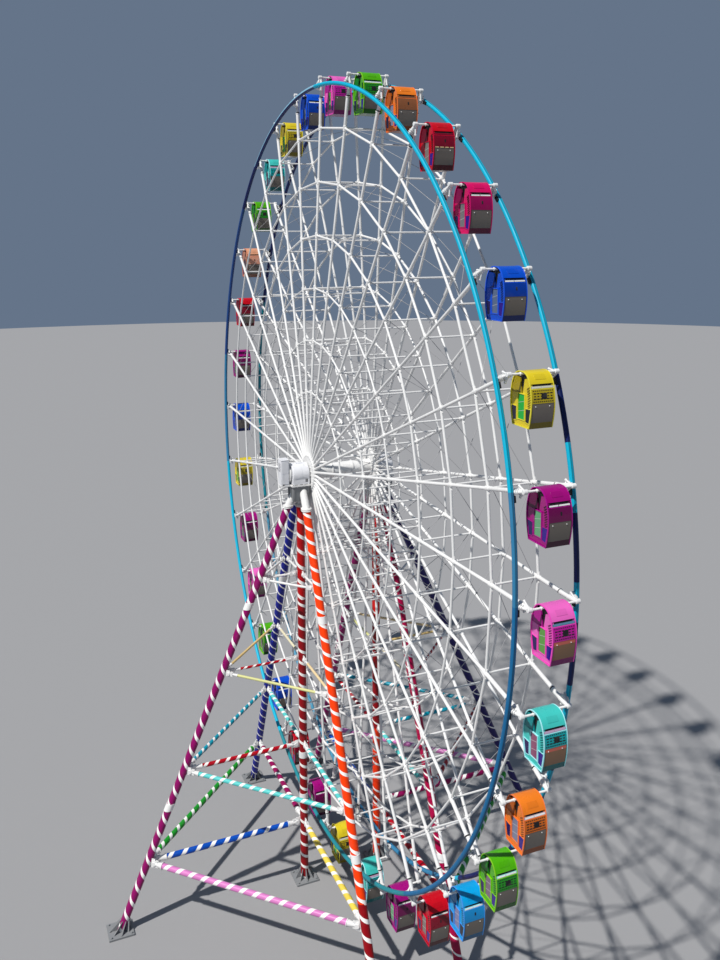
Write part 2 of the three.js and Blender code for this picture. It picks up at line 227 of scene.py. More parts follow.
def weathered_paint(name, colour=None, roughness=0.35, grime=0.3, band=None):
    """Sprayed paint on steel or fibreglass: the tone drifts over half a metre, grey dust lies in
    the lows of a finer noise, and both the gloss and a faint ripple follow the same noise. Where
    no colour is given it is the coat painted on each face. band winds a white band over it."""
    material = bpy.data.materials.new(name)
    material.use_nodes = True
    tree = material.node_tree
    place = joined(tree, "TexCoord")["Object"]
    drift, dust, ripple = (
        joined(tree, "TexNoise", {"Scale": scale, "Detail": detail, "Vector": place})["Fac"]
        for scale, detail in ((1.7, 3), (7, 6), (45, 2)))
    strength = joined(tree, "MapRange", {"To Min": 0.82, "To Max": 1.12, "Value": drift})
    coat = (*colour, 1) if colour else joined(tree, "VertexColor", layer_name="coat")["Color"]
    tone = joined(tree, "Mix", {"Factor": 1, "A": coat, "B": strength["Result"]},
                  data_type="RGBA", blend_type="MULTIPLY")["Result"]
    lows = joined(tree, "MapRange",
                  {"From Min": 0.56, "From Max": 0.8, "To Max": grime, "Value": dust})
    dusty = joined(tree, "Mix", data_type="RGBA", sockets={
        "Factor": lows["Result"], "A": band(tree, tone) if band else tone, "B": (0.23, 0.21, 0.18, 1)})
    dulled = joined(tree, "MapRange",
                    {"To Min": roughness * 0.8, "To Max": min(1, roughness * 1.5), "Value": dust})
    bump = joined(tree, "Bump", {"Strength": 0.06, "Distance": 0.002, "Height": ripple})
    feed(tree.nodes["Principled BSDF"], {
        "Specular IOR Level": 0.3, "Base Color": dusty["Result"], "Roughness": dulled["Result"],
        "Normal": bump["Normal"]})
    return material


def white_band(pitch, share):
    """A white band wound round a tube: it shows where metres along over the pitch plus the share
    of a turn, less its whole part, is under the band's share of the pitch."""
    def wind(tree, colour):
        wound = joined(tree, "UVMap", uv_map="wound")["UV"]
        split = joined(tree, "SeparateXYZ", {"Vector": wound})
        turns = joined(tree, "Math", {0: split["Y"], 1: 1 / pitch, 2: split["X"]},
                       operation="MULTIPLY_ADD")
        rest = joined(tree, "Math", {0: turns["Value"]}, operation="FRACT")
        under = joined(tree, "Math", {0: rest["Value"], 1: share}, operation="LESS_THAN")
        return joined(tree, "Mix", data_type="RGBA", sockets={
            "Factor": under["Value"], "A": colour, "B": (0.88, 0.87, 0.84, 1)})["Result"]
    return wind


WHITE_STEEL = weathered_paint("white_steel_paint", (0.78, 0.78, 0.77), 0.38, 0.12), "white_steel"
GREY_STEEL = weathered_paint("grey_steel_paint", (0.23, 0.24, 0.25), 0.45, 0.3), "grey_steel"

DARK_RED, BRIGHT_RED, ORANGE = (0.27, 0, 0.004), (0.44, 0, 0.002), (0.92, 0.05, 0)
BLUE, MAGENTA = (0.002, 0.008, 0.26), (0.25, 0, 0.11)
CRIMSON, NAVY = (0.36, 0, 0.05), (0.006, 0.003, 0.11)
# each length of a leg's stripes from the foot up: its top, its slot and coat, the pitch of the
# band, the band's share of the pitch, and how many bands run side by side
STRIPES = {
    "post_near": ((8, "leg_dark_red", DARK_RED, 0.325, 0.24, 1),
                  (STRIPES_TO, "leg_dark_red", BRIGHT_RED, 0.42, 0.24, 1)),
    "leg_right_near": ((2.19, "leg_dark_red", DARK_RED, 0.4, 0.25, 1),
                       (STRIPES_TO, "leg_orange", ORANGE, 0.345, 0.24, 1)),
    "leg_left_near": ((STRIPES_TO, "leg_blue", BLUE, 0.3, 0.17, 2),),
    "outrigger_near": ((STRIPES_TO, "leg_magenta", MAGENTA, 0.365, 0.26, 2),),
    "post_far": ((3.9, "leg_orange_far", (0.8, 0.035, 0), 0.4, 0.14, 1),
                 (7.2, "leg_orange_far", DARK_RED, 0.4, 0.12, 1),
                 (STRIPES_TO, "leg_orange_far", (0.6, 0.006, 0.004), 0.4, 0.12, 1)),
    "leg_right_far": ((STRIPES_TO, "leg_crimson", CRIMSON, 0.36, 0.14, 1),),
    "leg_left_far": ((STRIPES_TO, "leg_magenta_far", MAGENTA, 0.335, 0.22, 2),),
    "outrigger_far": ((STRIPES_TO, "leg_navy", NAVY, 0.42, 0.12, 1),),
}
SLEEVES = {
    "outrigger_near": (8.05, 3.05), "leg_left_near": (8,), "post_near": (3.62, 2.42),
    "leg_right_near": (8.05, 3.06), "leg_left_far": (8.05, 4.9), "leg_right_far": (7.04, 2.6),
}
SLEEVE_HALF, SLEEVE_RADIUS = 0.085, 0.118
RING_AT, RING_RADIUS, RING_CLEAR = STRIPES_TO + 0.045, 0.14, 0.895
RING_THICK, RING_GAP, RING_BOLTS = 0.024, 0.012, 10
STUB_RADIUS, NECK_RADIUS = LEG_RADIUS - 0.004, 0.098
HEAD_ENTRY, OUTRIGGER_ENTRY = (0.15, 1.12, HUB - 0.4), 1.24
PLATE = (0.62, 0.62, 0.05)
RIB_INSIDE, RIB_FOOT, RIB_TOP, RIB_HEIGHT, RIB_THICK = 0.095, 0.27, 0.125, 0.3, 0.016
ANCHORS_OUT, ANCHOR_RADIUS, ANCHOR_HIGH = 0.25, 0.028, 0.035


def on_leg(name, z):
    """The middle of a leg at height z, on the straight line from its foot to its top."""
    foot, top = (np.array(end) for end in LEGS[name])
    x, y = foot + (top - foot) * (z - LEG_FOOT) / (LEG_TOP - LEG_FOOT)
    return np.array([x, y, z])


def leg_length(name, low, high, radius, sides=24):
    """One stretch of a leg between two heights, with level ends."""
    start, end = on_leg(name, low), on_leg(name, high)
    length = np.linalg.norm(end - start)
    points, quads, wound = turned(start, end, [0, length], radius, sides, level=True)
    wound[..., 1] += np.linalg.norm(start - on_leg(name, 0))
    return points, quads, wound


def nuts(middles, directions, radius, height):
    """Hexagon nuts or bolt heads that stand on middles and point along directions."""
    middles = np.atleast_2d(middles)
    directions = np.broadcast_to(directions, middles.shape)
    stations = [0, height * 0.8, height]
    return turned(middles, middles + directions, stations, [radius, radius, radius * 0.8], sides=6)


def flange(name, z, radius, bolts):
    """A pair of bolted rings round a leg, level, with bolt heads on the upper one."""
    lows = (z - RING_GAP / 2 - RING_THICK, z + RING_GAP / 2)
    rings = [leg_length(name, low, low + RING_THICK, radius) for low in lows]
    circle = spread(bolts, 0.5) * (radius + LEG_RADIUS) / 2
    on_ring = on_leg(name, z + RING_GAP / 2 + RING_THICK) + circle
    return rings + [nuts(on_ring, (0, 0, 1), 0.01, 0.012)]


def ball(middle, radius):
    """A round elbow: a turned bar whose radius at height h over its foot is that of a sphere."""
    lean = np.linspace(0.05, np.pi - 0.05, 9)
    start = np.array(middle) - (0, 0, radius)
    return turned(start, start + (0, 0, 1), radius * (1 - np.cos(lean)), radius * np.sin(lean), 24)


def base_plate(name):
    """A leg's base: a square plate, eight ribs that stand out round the leg, and eight anchor nuts."""
    square = np.array([(1, 1, 0), (1, -1, 0), (-1, -1, 0), (-1, 1, 0)])
    foot, high = on_leg(name, 0), on_leg(name, RIB_HEIGHT)
    top = foot + (0, 0, PLATE[2])
    plate = foot + square * np.array(PLATE) / 2
    out, across = spread(8), spread(8, 2) * RIB_THICK / 2
    rib = np.stack([on_leg(name, PLATE[2]) + out * RIB_INSIDE, top + out * RIB_FOOT,
                    high + out * RIB_TOP, high + out * RIB_INSIDE], axis=1)
    anchors = np.concatenate([square, (square + np.roll(square, 1, axis=0)) / 2]) * ANCHORS_OUT
    return [blocks(plate, plate + (0, 0, PLATE[2])),
            blocks(rib - across[:, None], rib + across[:, None]),
            nuts(top + anchors, (0, 0, 1), ANCHOR_RADIUS, ANCHOR_HIGH)]


def leg_fittings(name):
    """The white pieces of a leg: its sleeves, the bolted ring over the stripes, the stub above it,
    and the neck that leaves a round elbow for the tower head."""
    side = name.split("_")[-1]
    fittings = [leg_length(name, z - SLEEVE_HALF, z + SLEEVE_HALF, SLEEVE_RADIUS)
                for z in SLEEVES.get(name, ())]
    fittings += flange(name, RING_AT, min(RING_RADIUS, TOWER[side] - RING_CLEAR), RING_BOLTS)
    fittings.append(leg_length(name, STRIPES_TO, LEG_TOP, STUB_RADIUS))
    elbow = on_leg(name, LEG_TOP)
    inward, depth, height = HEAD_ENTRY
    if name.startswith("outrigger"):
        depth = OUTRIGGER_ENTRY
    into_head = np.array([np.sign(elbow[0]) * inward, WAY[side] * depth, height])
    return fittings + [ball(elbow, STUB_RADIUS), tubes(elbow, into_head, NECK_RADIUS, 20)]


for name, lengths in STRIPES.items():
    low = STRIPES_FROM
    for high, slot, coat, pitch, share, bands in lengths:
        label = f"{name}_tube_from_{round(low)}"
        paint = weathered_paint(f"{label}_paint", coat, 0.3, 0.1, white_band(pitch, share))
        tube = leg_length(name, low, high, LEG_RADIUS)
        tube[2][..., 0] *= bands
        replaced = [name] if low == STRIPES_FROM else []
        piece(label, [tube], (paint, slot), "towers", replaced, wound=True)
        low = high

for name in LEGS:
    piece(f"{name}_base", base_plate(name), GREY_STEEL, "towers", bevel=0.003)
    piece(f"{name}_fittings", leg_fittings(name), WHITE_STEEL, "towers")

# The level braces that tie the four legs of a tower at four heights. Each is a painted tube with
# white cones at its ends, which fork plates pin to a lug welded on the inner side of each leg.
# Each level is its height, the tubes' radius, the pitch of the band and the slot.
BRACES = ((8.72, 0.03, 0.2, "brace_white"), (6.37, 0.034, 0.24, "brace_yellow"),
          (3.94, 0.056, 0.29, "brace_teal"), (1.69, 0.075, 0.37, "brace_mixed"))
BAND_PITCH, BAND_SHARE = 0.3, 0.33
CONE_FROM, CONE_LENGTH = 0.25, 0.22
CONE_SHARES = np.array([0.65, 0.65, 1.05, 1.25, 1.25, 1])
PIN_AT, PIN_HALF, PIN_CHAMFER = 0.2, 0.05, 0.008
LUG_AT, LUG_LONG, LUG_THICK = 0.15, 0.16, 0.022
CHEEK_PAST_PIN, CHEEK_LONG, CHEEK_THICK, CHEEK_OUT = 0.035, 0.17, 0.016, 0.02
TUBE_SIDES = 16
LINKS = (("leg_left", "post"), ("post", "leg_right"), ("leg_left", "outrigger"),
         ("leg_right", "outrigger"), ("post", "outrigger"))
WHITE, GREEN, RED, TEAL = (0.78, 0.78, 0.76), (0.01, 0.3, 0.02), (0.42, 0, 0.01), (0, 0.3, 0.42)
CREAM, OCHRE, PEACH, LIME = (0.72, 0.66, 0.46), (0.74, 0.54, 0.22), (0.76, 0.6, 0.34), (0.62, 0.62, 0.27)
LIGHT_TEAL, LEMON, ROYAL = (0.1, 0.56, 0.54), (0.78, 0.6, 0.08), (0, 0.07, 0.45)
PURPLE, LILAC = (0.26, 0, 0.08), (0.64, 0.2, 0.5)
BRACE_COATS = {
    "near": ((WHITE, WHITE, WHITE, WHITE, WHITE), (CREAM, PEACH, OCHRE, LIME, RED),
             (LIGHT_TEAL, LIGHT_TEAL, TEAL, LIGHT_TEAL, RED), (PURPLE, LEMON, GREEN, LILAC, ROYAL)),
    "far": ((WHITE, WHITE, WHITE, WHITE, RED), (LIME, CREAM, PEACH, RED, OCHRE),
            (RED, LIGHT_TEAL, TEAL, RED, TEAL), (ROYAL, RED, LILAC, GREEN, PURPLE)),
}
UNBANDED = (WHITE, CREAM, OCHRE, PEACH, LIME)
brace_paint = weathered_paint("brace_paint", None, 0.3, 0.1, white_band(BAND_PITCH, BAND_SHARE))


def brace_joint(start, way_in, radius):
    """The white end of a brace: a cone that swells to a collar, a lug on the leg, a fork plate on
    either side of it and the pin through all three. Heights grow with the tube's radius."""
    reach, beside = CONE_FROM + CONE_LENGTH, np.cross((0, 0, 1), way_in)
    stations = [CONE_FROM, CONE_FROM + 0.03, reach - 0.02, reach - 0.02, reach, reach]
    pin, boss = start + way_in * PIN_AT, 0.032 + 0.45 * radius
    cheeks = [boxes(pin + way_in * CHEEK_PAST_PIN + beside * offset,
                    (CHEEK_LONG, CHEEK_THICK, 0.05 + 1.6 * radius), way_in)
              for offset in (-CHEEK_OUT, CHEEK_OUT)]
    pin_ends = [0, PIN_CHAMFER, 2 * PIN_HALF - PIN_CHAMFER, 2 * PIN_HALF]
    pin_radii = [boss - PIN_CHAMFER, boss, boss, boss - PIN_CHAMFER]
    return [turned(start, start + way_in, stations, CONE_SHARES * radius, TUBE_SIDES),
            boxes(start + way_in * LUG_AT, (LUG_LONG, LUG_THICK, 0.09 + 2 * radius), way_in),
            *cheeks, turned(pin - beside * PIN_HALF, pin, pin_ends, pin_radii, 12)]


for side in WAY:
    for level, (z, radius, pitch, slot) in enumerate(BRACES):
        a_end = np.array([on_leg(f"{a}_{side}", z) for a, _ in LINKS])
        b_end = np.array([on_leg(f"{b}_{side}", z) for _, b in LINKS])
        way = unit(b_end - a_end)
        reach = CONE_FROM + CONE_LENGTH
        tubes_of_level, coats = [], BRACE_COATS[side][level]
        for start, end, coat in zip(a_end + way * reach, b_end - way * reach, coats):
            points, quads, wound = tubes(start, end, radius, TUBE_SIDES)
            wound[..., 1] *= BAND_PITCH / pitch
            if coat in UNBANDED:
                wound[:] = (0, (1 + BAND_SHARE) / 2 * BAND_PITCH)
            tubes_of_level.append((points, quads, wound))
        name = f"braces_{side}_{level + 1}"
        piece(f"{name}_tubes", tubes_of_level, (brace_paint, slot), "towers", [name], wound=True,
              coats=coats)
        white = brace_joint(a_end, way, radius) + brace_joint(b_end, -way, radius)
        piece(f"{name}_joints", white, WHITE_STEEL, "towers")

# The two tower heads: a grey welded column where the legs meet, under a white ledge plate that
# carries a bearing housing round the shaft. The near one has a tall drive box outboard, on a
# shelf of the ledge, and a bolted coupling on the shaft between the two.
BOX_STEEL = weathered_paint("drive_box_paint", (0.74, 0.75, 0.78), 0.4, 0.2), "white_steel"
DARK_TRIM = weathered_paint("black_trim", (0.012, 0.012, 0.014), 0.55, 0.25), "dark_trim"
COLUMN_LOW, LEDGE_LOW, LEDGE_HIGH = HUB - 0.7, HUB - 0.29, HUB - 0.25
ON_LEDGE, BOX_TOP = LEDGE_HIGH + 0.001, HUB + 0.42
COLUMN_HALVES, COLUMN_FACES = np.array([0.205, 0.26]), (0.967, 1.407)
STRAPS_AT, STRAP_HALF, STRAP_PROUD = (1, 1.187, 1.374), 0.012, 0.01
HOUSING_FACES = (0.96, 1.414)
HOUSING = ([0, 0, 0.012, 0.03, 0.19, 0.19, 0.2, 0.2, 0.424, 0.442, 0.454, 0.454],
           [0.13, 0.255, 0.272, 0.28, 0.28, 0.274, 0.274, 0.28, 0.28, 0.272, 0.255, 0.13])
COVER_BOLTS, COVER_BOLTS_OUT = 12, 0.2
LEDGE_BOLTS = [(x, y) for x in (-0.265, 0.265) for y in (1, 1.1, 1.2, 1.3, 1.4)]
FOOT_BOLTS_ALONG, FOOT_BOLTS_HIGH = (1, 1.13, 1.26, 1.38), HUB - 0.24

# each block: half its width, its inner and outer face from the wheel's middle plane, its bottom
# and top, and how far it lies beside the shaft's line
FINS = [(0.01, 1.407, 1.437, COLUMN_LOW + 0.1, LEDGE_LOW, x) for x in (-0.12, 0.12)]
LEDGE = (0.28, 0.94, 1.45, LEDGE_LOW, LEDGE_HIGH, 0)
SHELF = (0.15, 1.45, 1.7, LEDGE_LOW, LEDGE_HIGH, 0)
SADDLE = (0.26, 0.965, 1.409, ON_LEDGE, HUB, 0)
SADDLE_RIBS = [(0.004, 1.04, 1.048, HUB - 0.17, HUB - 0.09, x) for x in (-0.264, 0.264)]
SADDLE_SLOTS = [(0.002, 1.015, 1.075, HUB - 0.18, HUB - 0.08, x) for x in (-0.2612, 0.2612)]
FOOT_SEAM = (0.2612, 0.965, 1.409, ON_LEDGE, LEDGE_HIGH + 0.014, 0)
CAP = (0.06, 1.11, 1.27, HUB + 0.272, HUB + 0.288, 0)
BOX_BODY = (0.142, 1.484, 1.692, ON_LEDGE, BOX_TOP - 0.012, 0)
BOX_LID = (0.15, 1.48, 1.7, BOX_TOP - 0.014, BOX_TOP, 0)
BOX_DOORS = [(0.004, 1.5, 1.67, low, high, x) for x in (-0.146, 0.146)
             for low, high in ((LEDGE_HIGH + 0.03, HUB + 0.04), (HUB + 0.06, BOX_TOP - 0.04))]
BOX_PLATE = (0.12, 1.69, 1.698, LEDGE_HIGH + 0.03, BOX_TOP - 0.04, 0)
BOX_LOUVRES = [(0.08, 1.696, 1.7, HUB + z, HUB + z + 0.008, 0) for z in np.arange(0.1, 0.32, 0.028)]
BOX_BAND = (0.149, 1.61, 1.66, ON_LEDGE, LEDGE_HIGH + 0.028, 0)


def slabs(way, rows):
    """Upright blocks at the near or far head, one for each row of the kind named above."""
    half, inner, outer, bottom, top, beside = np.array(rows).T
    middles = np.stack([beside, way * (inner + outer) / 2, (bottom + top) / 2], axis=1)
    return boxes(middles, np.stack([2 * half, outer - inner, top - bottom], axis=1))


def tapered(way, halves, inner, outer):
    """A block that widens upwards: a rectangle at its foot joined to a wider one under the ledge."""
    foot, top = (np.array([(-half, way * inner, z), (half, way * inner, z),
                           (half, way * outer, z), (-half, way * outer, z)])
                 for half, z in zip(halves, (COLUMN_LOW, LEDGE_LOW)))
    return blocks(foot, top)


for name, way in WAY.items():
    straps = [tapered(way, COLUMN_HALVES + STRAP_PROUD, y - STRAP_HALF, y + STRAP_HALF)
              for y in STRAPS_AT]
    column = [tapered(way, COLUMN_HALVES, *COLUMN_FACES), *straps, slabs(way, FINS)]
    piece(f"head_{name}_column", column, GREY_STEEL, "towers", [f"head_{name}"], bevel=0.004)

    ledge = [slabs(way, [LEDGE, SHELF] if name == "near" else [LEDGE])]
    ledge.append(nuts([(x, way * y, LEDGE_LOW) for x, y in LEDGE_BOLTS], (0, 0, -1), 0.012, 0.016))
    piece(f"head_{name}_ledge", ledge, WHITE_STEEL, "towers", bevel=0.004)

    start, cover = np.array([0, way * HOUSING_FACES[0], HUB]), (0, way * HOUSING_FACES[1], HUB)
    circle = spread(COVER_BOLTS)[:, [0, 2, 1]] * COVER_BOLTS_OUT
    housing = [turned(start, start + (0, way, 0), *HOUSING, 48), slabs(way, [SADDLE, CAP, *SADDLE_RIBS]),
               nuts(circle + cover, (0, way, 0), 0.014, 0.01)]
    for facing in (-1, 1):
        feet = [(facing * SADDLE[0], way * y, FOOT_BOLTS_HIGH) for y in FOOT_BOLTS_ALONG]
        housing.append(nuts(feet, (facing, 0, 0), 0.016, 0.012))
    piece(f"bearing_{name}_housing", housing, BOX_STEEL, "towers", [f"bearing_{name}"], bevel=0.004)
    piece(f"bearing_{name}_seams", [slabs(way, [*SADDLE_SLOTS, FOOT_SEAM])], DARK_TRIM, "towers")

cover = slabs(WAY["near"], [BOX_BODY, BOX_LID, *BOX_DOORS, BOX_PLATE])
piece("drive_box_cover", [cover], BOX_STEEL, "towers", ["shaft_box"], bevel=0.003)
louvres = slabs(WAY["near"], [*BOX_LOUVRES, BOX_BAND])
piece("drive_box_louvres", [louvres], DARK_TRIM, "towers")

# The two dished sides of the wheel: 32 round spokes a side, six polygon rings of thinner tube,
# and at each crossing a sleeve with a gusset plate. All of it is white painted steel.
PIVOT, COUNT = 10.2, 32
HUB_PLANE, PIVOT_PLANE = 0.887, 0.438
RINGS = np.array([8.94, 7.58, 6.21, 4.85, 3.48, 2.11])
THICK_RING, THIN_RING, THIN_WITHIN = 0.028, 0.022, 5
SPOKE_RADIUS, SPOKE_ROOT = 0.034, 0.42
SLEEVE_BACK, SLEEVE = 0.075, ([0, 0.01, 0.14, 0.15], [0.037, 0.046, 0.046, 0.037])
GUSSETS, GUSSET_BOLTS_AT, GUSSET_FACE = ((0.21, 0.014, 0.085), (0.09, 0.014, 0.2)), 0.07, 0.007
FLANGE_AT, FLANGE_HALF = 0.47, 0.06
FLANGE = ([0, 0, 0.012, 0.035, 0.035, 0.085, 0.085, 0.108, 0.12, 0.12],
          [0.19, 0.455, 0.47, 0.47, 0.42, 0.42, 0.47, 0.47, 0.455, 0.19])
SOCKET_FROM, SOCKET = 0.37, ([0, 0.13, 0.14], [0.04, 0.04, 0.034])
SPOKE_BOLTS_AT, HUB_BOLTS_AT, HUB_BOLTS_PAST = 0.43, 0.26, 0.1
angles = np.arange(COUNT) * 2 * np.pi / COUNT
BAY = angles[1]


def plane_at(radius):
    """Half the distance between the two sides: it narrows evenly from the hub to the rim."""
    return HUB_PLANE + (PIVOT_PLANE - HUB_PLANE) * np.asarray(radius) / PIVOT


def on_wheel(radius, turn, y):
    """Points at a radius and a turn clockwise from the top, as arrays that go together."""
    radius, turn, y = np.broadcast_arrays(radius, turn, y)
    return np.stack([radius * np.sin(turn), y, HUB + radius * np.cos(turn)], axis=-1).reshape(-1, 3)


def on_side(side, radius, turn=angles):
    """Points in the dished plane of one side of the wheel."""
    return on_wheel(radius, turn, side * plane_at(radius))


def outward(turn):
    """The direction away from the hub at each turn."""
    return np.stack([np.sin(turn), 0 * turn, np.cos(turn)], axis=1)


def forward(turn):
    """The direction round the rim, clockwise, at each turn."""
    return np.stack([np.cos(turn), 0 * turn, -np.sin(turn)], axis=1)


for name, side in WAY.items():
    root = on_side(side, SPOKE_ROOT)
    lattice = [tubes(root, on_side(side, RINGS[0]), SPOKE_RADIUS)]
    for radius in RINGS:
        ends = on_side(side, radius), on_side(side, radius, angles + BAY)
        lattice.append(tubes(*ends, THICK_RING if radius > THIN_WITHIN else THIN_RING, 10))
    piece(f"wheel_side_{name}_tubes", lattice, WHITE_STEEL, "wheel", [f"wheel_side_{name}"])

    radii, turns = (grid.ravel() for grid in np.meshgrid(RINGS, angles, indexing="ij"))
    crossings = on_side(side, radii, turns)
    out, along = outward(turns), forward(turns)
    fittings = [turned(crossings - out * SLEEVE_BACK, crossings, *SLEEVE, 10)]
    fittings += [boxes(crossings, size, along, out) for size in GUSSETS]
    for share in (-GUSSET_BOLTS_AT, GUSSET_BOLTS_AT):
        for face in (-1, 1):
            where = crossings + along * share + (0, face * GUSSET_FACE, 0)
            fittings.append(nuts(where, (0, face, 0), 0.008, 0.008))
    y = side * plane_at(FLANGE_AT)
    hub_start = np.array([0, y - FLANGE_HALF, HUB])
    fittings.append(turned(hub_start, hub_start + (0, 1, 0), *FLANGE, 64))
    fittings.append(turned(on_wheel(SOCKET_FROM, angles, y), root, *SOCKET, 10))
    for face in (-1, 1):
        on_face = y + face * FLANGE_HALF
        fittings.append(nuts(on_wheel(SPOKE_BOLTS_AT, angles, on_face), (0, face, 0), 0.016, 0.014))
        hub_bolts = on_wheel(HUB_BOLTS_AT, angles[::2] + HUB_BOLTS_PAST, on_face)
        fittings.append(nuts(hub_bolts, (0, face, 0), 0.02, 0.018))
    piece(f"wheel_side_{name}_fittings", fittings, WHITE_STEEL, "wheel")

# The outer spoke ends: a thicker length bolted on at a dark ring joint, drawn to a point at the
# eye that carries the cabin's axle. Two short arms brace the eye like an arrow's head, and a
# flanged elbow runs from it to a saddle on the rim tube. Beside each saddle a black pad on the
# inner face of the rim is a painted shadow of the bracket. A place is (radius, distance from the
# middle plane), and a turned profile is its stations, then its radii.
RIM_RADIUS, RIM_PLANE, RIM_TUBE = 9.965, 0.625, 0.051
SPOKE_JOINT, TIP, EYE = 9.7, (PIVOT, 0.46), (PIVOT, 0.402)
OUTER_SPOKE = ([0, 0.02, 0.73, 0.73, 0.75, 0.75], [0.036, 0.041, 0.041, 0.05, 0.05, 0.03])
DRAWN_END = ([0.02, 0.02, 0.04, 0.04, 0.24, 0.28, 0.4, 0.5],
             [0.03, 0.05, 0.05, 0.043, 0.043, 0.05, 0.046, 0.03])
BUSH = ([0, 0.038, 0.038, 0.045, 0.121, 0.128], [0.024, 0.024, 0.038, 0.045, 0.045, 0.038])
ARM_TIP, ARM_FOOT, ARM_SPREAD, BAR_RADIUS = (10.19, 0.475), (10, 0.47), 0.01, 0.014
ARM = ([0, 0.05, 0.19, 0.215], [0.014, 0.018, 0.018, 0.026])
ELBOW_FROM, SADDLE_AT, SADDLE_SIZE = (10.18, 0.49), (9.945, 0.575), (0.13, 0.03, 0.06)
ELBOW = ([0, 0.08, 0.12, 0.12, 0.135, 0.135, 0.16, 0.16, 0.175, 0.175, 0.22],
         [0.018, 0.03, 0.03, 0.048, 0.048, 0.03, 0.03, 0.048, 0.048, 0.03, 0.03])
STRUT_FROM, STRUT_RADIUS = (9.84, 0.455), 0.022
# the black pad, a painted shadow of the bracket: its size, how far past the spoke and how far in from the
# rim's plane
SHADOW_PAD_SIZE, SHADOW_PAD_PAST, SHADOW_PAD_IN = (0.12, 0.04, 0.068), 0.0125, 0.053
DARK_RING = ([-0.012, -0.012, 0.022, 0.022], [0.03, 0.046, 0.046, 0.03])


def at_ends(place, side, past=0):
    """A place beside the eye, at the end of all the spokes of a side, moved past it by a turn."""
    radius, out = place
    return on_wheel(radius, angles + past, side * out)


for name, side in WAY.items():
    shoulder, joint = on_side(side, RINGS[0]), on_side(side, SPOKE_JOINT)
    tip, eye, saddle = (at_ends(place, side) for place in (TIP, EYE, SADDLE_AT))
    feet = [at_ends(ARM_FOOT, side, way * ARM_SPREAD) for way in (-1, 1)]
    white = [turned(shoulder, tip, *OUTER_SPOKE), turned(joint, tip, *DRAWN_END),
             turned(eye, eye + (0, side, 0), *BUSH, 16),
             *(turned(at_ends(ARM_TIP, side), foot, *ARM, 8) for foot in feet),
             tubes(*feet, BAR_RADIUS, 8), turned(at_ends(ELBOW_FROM, side), saddle, *ELBOW),
             boxes(saddle, SADDLE_SIZE, forward(angles), outward(angles)),
             tubes(at_ends(STRUT_FROM, side), saddle, STRUT_RADIUS, 8)]
    piece(f"spoke_ends_{name}", white, WHITE_STEEL, "wheel")
    # black pads on the rim's inner face, painted shadows of the brackets
    past = angles + SHADOW_PAD_PAST
    shadow_pad = on_wheel(RIM_RADIUS, past, side * (RIM_PLANE - SHADOW_PAD_IN))
    dark = [boxes(shadow_pad, SHADOW_PAD_SIZE, forward(past), outward(past)), turned(joint, tip, *DARK_RING)]
    piece(f"spoke_end_joints_and_shadow_pads_{name}", dark, DARK_TRIM, "wheel")

# The ties between the two sides: a level tube at every crossing of all six rings, and thin rods
# that cross in the panels between neighbouring ties, clamped where they meet.
TIE_RADIUS, ROD_RADIUS, ROD_INSET = 0.021, 0.006, 0.05
CLAMP, CLAMP_HALF = ([0, 0.024], [0.022, 0.022]), 0.012
COLLAR = ([0, 0.05, 0.06], [0.032, 0.032, 0.023])
ties, rods = [], []
for radius in RINGS:
    reach = plane_at(radius) - SPOKE_RADIUS
    here, there = on_wheel(radius, angles, -reach), on_wheel(radius, angles, reach)
    ties.append(tubes(here, there, TIE_RADIUS, 10))
    for low, high in ((-1, 1), (1, -1)):
        start = on_wheel(radius, angles, low * (reach - ROD_INSET))
        end = on_wheel(radius, angles + BAY, high * (reach - ROD_INSET))
        rods.append(tubes(start, end, ROD_RADIUS, 6))
    middle = (on_wheel(radius, angles, 0) + on_wheel(radius, angles + BAY, 0)) / 2
    out = outward(angles + BAY / 2)
    rods.append(turned(middle - out * CLAMP_HALF, middle + out, *CLAMP, 12))
    for end, way in ((here, 1), (there, -1)):
        ties.append(turned(end, end + (0, way, 0), *COLLAR, 10))
ROD_STEEL = weathered_paint("rod_paint", (0.36, 0.36, 0.37), 0.4, 0.3), "white_steel"
piece("tie_tubes", ties, WHITE_STEEL, "wheel", ["ties"])
piece("tie_rods", rods, ROD_STEEL, "wheel")

# The two rim tubes that run round outside the spoke ends, rolled from tube and painted sky blue.
# Other blues, length by length, are painted shade, and a darker strip along the outside is painted
# shade too. The last lengths are navy on their inner half as painted shade, the near one's last
# three pale blue on the rest as a painted highlight, and navy stretches of the far one between
# spokes are painted shadows of the cabins.
RIM_STEPS, RIM_SIDES = 8 * COUNT, 14
SKY, DEEP, ROYAL_BLUE = (0, 0.42, 0.62), (0, 0.01, 0.11), (0.005, 0.135, 0.32)
STEEL_BLUE, PALE_BLUE, SEA_BLUE = (0.03, 0.2, 0.38), (0.06, 0.27, 0.42), (0, 0.2, 0.26)
PAINTED_HIGHLIGHT_BLUE, SLATE_BLUE, LAGOON = (0.24, 0.48, 0.64), (0.01, 0.06, 0.24), (0.015, 0.23, 0.28)
# runs of bays, a count and a blue: sky is the rim's paint, the darker blues are painted shade and ice
# blue a painted highlight
RIM_BLUES_AND_PAINTED_SHADE = {
    "near": ((7, SKY), (1, STEEL_BLUE), (5, ROYAL_BLUE), (5, LAGOON), (5, SKY),
             (2, STEEL_BLUE), (3, SLATE_BLUE), (1, DEEP), (3, PAINTED_HIGHLIGHT_BLUE)),
    "far": ((13, SKY), (4, STEEL_BLUE), (5, PALE_BLUE), (4, SEA_BLUE), (5, DEEP), (1, SKY)),
}
# navy stretches of the far rim, painted shadows of the cabins: bays from and to, steps from and to
CABIN_SHADOW_PARTS = ((6, 7, 0, 5), (7, 13, 2, 7))
